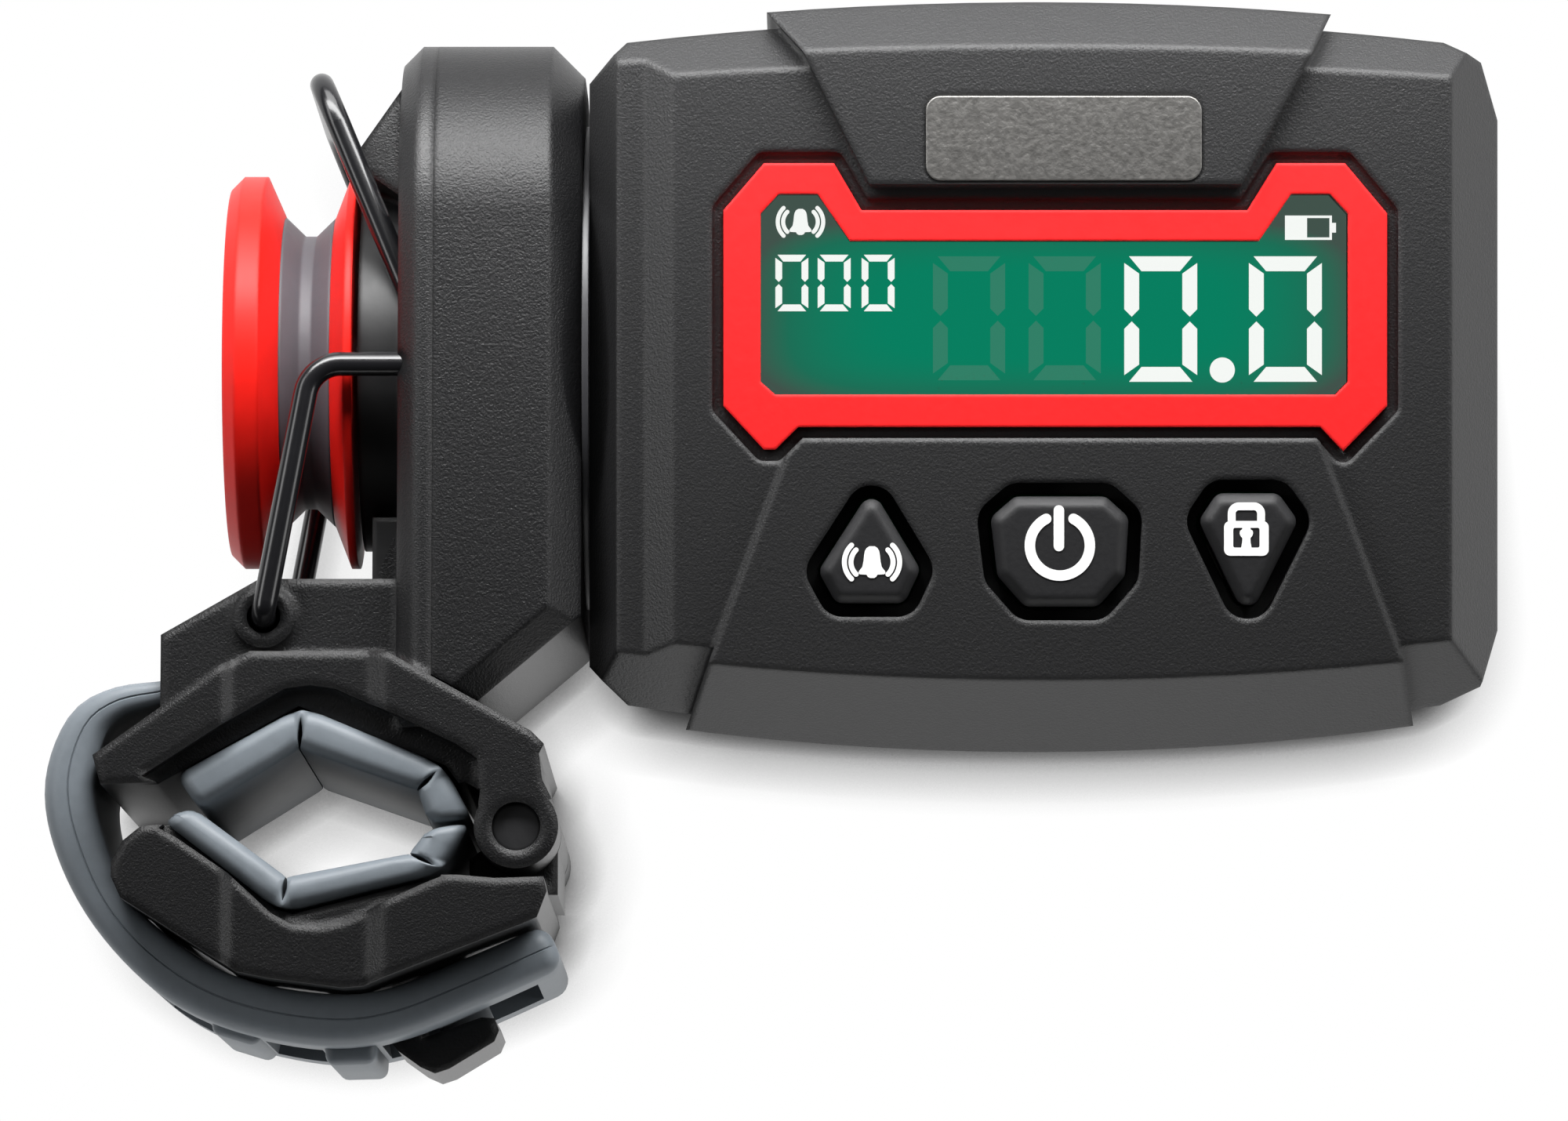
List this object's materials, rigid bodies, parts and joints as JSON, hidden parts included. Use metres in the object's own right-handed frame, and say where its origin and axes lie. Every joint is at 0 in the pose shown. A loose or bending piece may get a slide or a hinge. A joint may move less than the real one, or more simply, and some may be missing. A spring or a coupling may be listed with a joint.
{
  "type": "fishing line counter",
  "caption": "Clamp-on electronic line counter for a fishing rod: a measuring wheel, a hinged strap clamp and a display head on a swivel.",
  "frame": {"origin": "on the rod's axis, halfway along the clamp's depth", "axes": "+Y along the rod, away from the side the display faces; +Z from the rod to the swivel; +X from the wheel to the display head"},
  "size_m": [0.0905, 0.0378, 0.0689],
  "materials": {
    "black_housing": "fine moulded grain",
    "red_flange": "gloss",
    "red_trim": "satin",
    "grey_rubber": "matt",
    "tyre_rubber": "matt",
    "black_rubber": "matt",
    "key_rubber": "matt",
    "white_ink": "printed",
    "clear_window": "polished acrylic",
    "lcd_glass": "back-lit green",
    "light_guide": "clear",
    "badge_metal": "satin",
    "black_wire": "gloss black",
    "steel": "bright",
    "hub_plastic": "matt",
    "bush_plastic": "natural",
    "circuit_board": "solder mask",
    "cell_jacket": "plain jacket"
  },
  "bodies": {
    "bracket": {"clamp_bracket": "black_housing", "pod_barrel": "black_housing", "pod_gasket": "black_rubber", "pod_screws": "steel", "swivel_seal": "black_rubber", "detent_spring": "steel", "sensor_board": "circuit_board", "hall_sensors": "hub_plastic", "sensor_connector": "hub_plastic", "wheel_axle": "steel", "axle_clip": "steel", "thrust_washer": "steel", "lower_guide_wires": "black_wire", "upper_guide_wire": "black_wire", "hinge_pin": "steel", "upper_jaw_pad": "grey_rubber"},
    "wheel": {"wheel_outer_flange": "red_flange", "wheel_inner_flange": "red_flange", "wheel_tyre": "tyre_rubber", "wheel_magnets": "steel", "wheel_screws": "steel", "wheel_bushes": "bush_plastic", "hub_cap": "black_housing"},
    "lower_jaw": {"lower_jaw": "black_housing", "lower_jaw_pad": "grey_rubber", "rubber_strap": "grey_rubber"},
    "alarm_key": {"alarm_key": "key_rubber", "alarm_symbol": "white_ink"},
    "power_key": {"power_key": "key_rubber", "power_symbol": "white_ink"},
    "lock_key": {"lock_key": "key_rubber", "lock_symbol": "white_ink"},
    "battery_door": {"battery_door": "black_housing", "door_screw": "steel", "door_gasket": "black_rubber"},
    "head": {"backlight_guide": "light_guide", "badge_plate": "badge_metal", "battery_cells": "cell_jacket", "battery_contacts": "steel", "battery_springs": "steel", "battery_tray": "black_housing", "board_chips": "hub_plastic", "board_screws": "steel", "buzzer": "black_housing", "cover_screws": "steel", "display_bezel": "red_trim", "display_window": "clear_window", "head_front_cover": "black_housing", "head_rear_cover": "black_housing", "key_domes": "steel", "keypad_mat": "black_rubber", "lcd_connectors": "hub_plastic", "lcd_panel": "lcd_glass", "lcd_segments": "white_ink", "main_board": "circuit_board", "sensor_cable": "black_rubber", "swivel_hub": "hub_plastic", "swivel_retainer": "hub_plastic", "swivel_washer": "steel"}
  },
  "joints": [
    {"name": "wheel_spin", "type": "hinge", "parent": "bracket", "child": "wheel", "pos_m": [0, 0, 0.0291], "axis": [1, 0, 0], "continuous": true},
    {"name": "head_swivel", "type": "hinge", "parent": "bracket", "child": "head", "pos_m": [0, 0, 0.0294], "axis": [1, 0, 0], "range_deg": [-96.5, 83.5]},
    {"name": "jaw_hinge", "type": "hinge", "parent": "bracket", "child": "lower_jaw", "pos_m": [0.0136, 0, -0.0012], "axis": [0, -1, 0], "range_deg": [0, 65], "deforming": ["rubber_strap"]},
    {"name": "alarm_press", "type": "slide", "parent": "head", "child": "alarm_key", "axis": [0, 0.9936, 0.1132], "range_m": [0, 0.0008], "stiffness_N_per_m": 600},
    {"name": "power_press", "type": "slide", "parent": "head", "child": "power_key", "axis": [0, 0.9936, 0.1132], "range_m": [0, 0.0008], "stiffness_N_per_m": 600},
    {"name": "lock_press", "type": "slide", "parent": "head", "child": "lock_key", "axis": [0, 0.9936, 0.1132], "range_m": [0, 0.0008], "stiffness_N_per_m": 600},
    {"name": "battery_door_pull", "type": "slide", "parent": "head", "child": "battery_door", "axis": [0, 0.9936, 0.1132], "range_m": [0, 0.02]}
  ]
}
